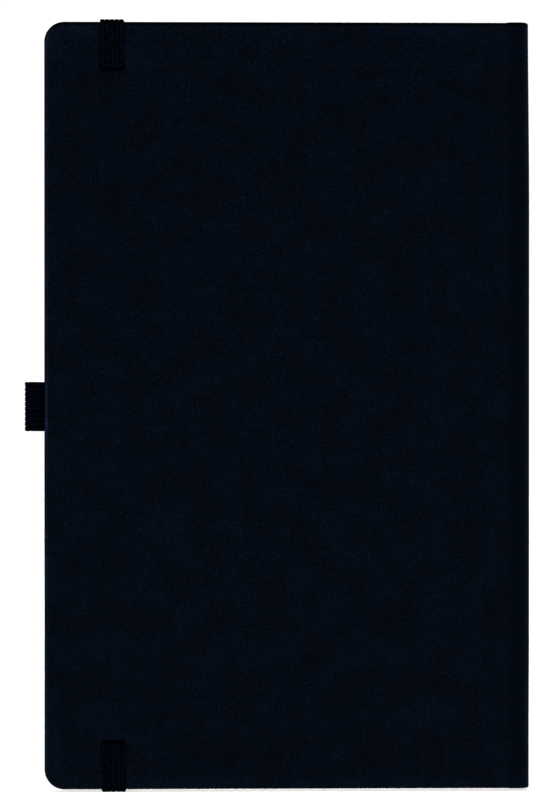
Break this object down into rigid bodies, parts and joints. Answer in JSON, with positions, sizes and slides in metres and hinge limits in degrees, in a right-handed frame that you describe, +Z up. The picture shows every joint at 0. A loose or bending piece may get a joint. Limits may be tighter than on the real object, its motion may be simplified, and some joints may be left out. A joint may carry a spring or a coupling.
{
  "type": "hardcover notebook",
  "caption": "Upright closed hardcover notebook with an elastic closure band, a pen loop on the fore-edge, rounded fore-edge corners and an inner back pocket.",
  "frame": {"origin": "on the floor, under the middle of the bounding box, with the book standing on its tail edge", "axes": "+Z up from tail to head, +X from the fore-edge to the spine, +Y out of the front cover, -Y out of the back cover"},
  "size_m": [0.1384, 0.0176, 0.2115],
  "materials": {
    "leatherette": "fine-grained matt navy leatherette",
    "greyboard": "dense grey millboard",
    "endpaper": "uncoated ivory",
    "page_paper": "uncoated cream",
    "elastic": "ribbed woven elastic",
    "mull_cloth": "open-weave cotton",
    "headband_cloth": "woven bead",
    "pocket_card": "uncoated card",
    "gusset_cloth": "book cloth"
  },
  "bodies": {
    "spine_and_block": {"spine_cover": "leatherette", "spine_stiffener": "greyboard", "spine_lining": "mull_cloth", "headband_head": "headband_cloth", "headband_tail": "headband_cloth", "signature_01": "page_paper", "signature_02": "page_paper", "signature_03": "page_paper", "signature_04": "page_paper", "signature_05": "page_paper", "signature_06": "page_paper", "signature_07": "page_paper", "front_flyleaf": "endpaper"},
    "front_cover": {"front_cover_skin": "leatherette", "front_board": "greyboard", "front_pastedown": "endpaper"},
    "back_cover": {"back_cover_skin": "leatherette", "back_board": "greyboard", "back_pastedown": "endpaper", "elastic_anchor_head": "elastic", "elastic_anchor_tail": "elastic", "pen_loop": "elastic", "pocket_gusset_fore": "gusset_cloth", "pocket_gusset_spine": "gusset_cloth"},
    "pocket": {"pocket_panel": "pocket_card"},
    "band_ends": {"elastic_leg_head": "elastic", "elastic_leg_tail": "elastic"},
    "band_strap": {"elastic_strap": "elastic"},
    "flyleaf": {"back_flyleaf": "endpaper"},
    "leaves_08": {"signature_08": "page_paper"},
    "leaves_09": {"signature_09": "page_paper"},
    "leaves_10": {"signature_10": "page_paper"},
    "leaves_11": {"signature_11": "page_paper"},
    "leaves_12": {"signature_12": "page_paper"}
  },
  "joints": [
    {"name": "front_cover_open", "type": "hinge", "parent": "spine_and_block", "child": "front_cover", "pos_m": [0.06275, 0.0081, 0.10575], "axis": [0, 0, -1], "range_deg": [0, 180]},
    {"name": "back_cover_open", "type": "hinge", "parent": "spine_and_block", "child": "back_cover", "pos_m": [0.06275, -0.0081, 0.10575], "axis": [0, 0, 1], "range_deg": [0, 180]},
    {"name": "leaves_08_turn", "type": "hinge", "parent": "spine_and_block", "child": "leaves_08", "pos_m": [0.0646, -0.00052, 0.10575], "axis": [0, 0, 1], "range_deg": [0, 4.2]},
    {"name": "leaves_09_turn", "type": "hinge", "parent": "spine_and_block", "child": "leaves_09", "pos_m": [0.0646, -0.00122, 0.10575], "axis": [0, 0, 1], "range_deg": [0, 8.1]},
    {"name": "leaves_10_turn", "type": "hinge", "parent": "spine_and_block", "child": "leaves_10", "pos_m": [0.0646, -0.00193, 0.10575], "axis": [0, 0, 1], "range_deg": [0, 12.1]},
    {"name": "leaves_11_turn", "type": "hinge", "parent": "spine_and_block", "child": "leaves_11", "pos_m": [0.0646, -0.00263, 0.10575], "axis": [0, 0, 1], "range_deg": [0, 16]},
    {"name": "leaves_12_turn", "type": "hinge", "parent": "spine_and_block", "child": "leaves_12", "pos_m": [0.0646, -0.00332, 0.10575], "axis": [0, 0, 1], "range_deg": [0, 20]},
    {"name": "back_flyleaf_turn", "type": "hinge", "parent": "leaves_12", "child": "flyleaf", "pos_m": [0.05995, -0.0038, 0.10575], "axis": [0, 0, 1], "range_deg": [0, 21.8]},
    {"name": "pocket_open", "type": "hinge", "parent": "back_cover", "child": "pocket", "pos_m": [-0.00355, -0.00428, 0.00575], "axis": [-1, 0, 0], "range_deg": [0, 6.2], "deforming": ["pocket_gusset_fore", "pocket_gusset_spine"]},
    {"name": "band_swing", "type": "hinge", "parent": "back_cover", "child": "band_ends", "pos_m": [-0.04505, -0.00843, 0.10575], "axis": [0, 0, 1], "range_deg": [0, 180.2], "deforming": ["elastic_leg_head", "elastic_leg_tail"]},
    {"name": "band_settle", "type": "slide", "parent": "band_ends", "child": "band_strap", "axis": [0, -1, 0], "range_m": [0, 0.0169], "deforming": ["elastic_strap"]}
  ],
  "couplings": [
    {"joint": "leaves_08_turn", "follows": "back_cover_open", "ratio": 0.022},
    {"joint": "leaves_09_turn", "follows": "back_cover_open", "ratio": 0.044},
    {"joint": "leaves_10_turn", "follows": "back_cover_open", "ratio": 0.066},
    {"joint": "leaves_11_turn", "follows": "back_cover_open", "ratio": 0.088},
    {"joint": "leaves_12_turn", "follows": "back_cover_open", "ratio": 0.11},
    {"joint": "back_flyleaf_turn", "follows": "back_cover_open", "ratio": 0.12},
    {"joint": "pocket_open", "follows": "back_cover_open", "ratio": 0.03333},
    {"joint": "band_swing", "follows": "back_cover_open", "ratio": 1},
    {"joint": "band_settle", "follows": "back_cover_open", "m_per_rad": 0.0053635}
  ]
}
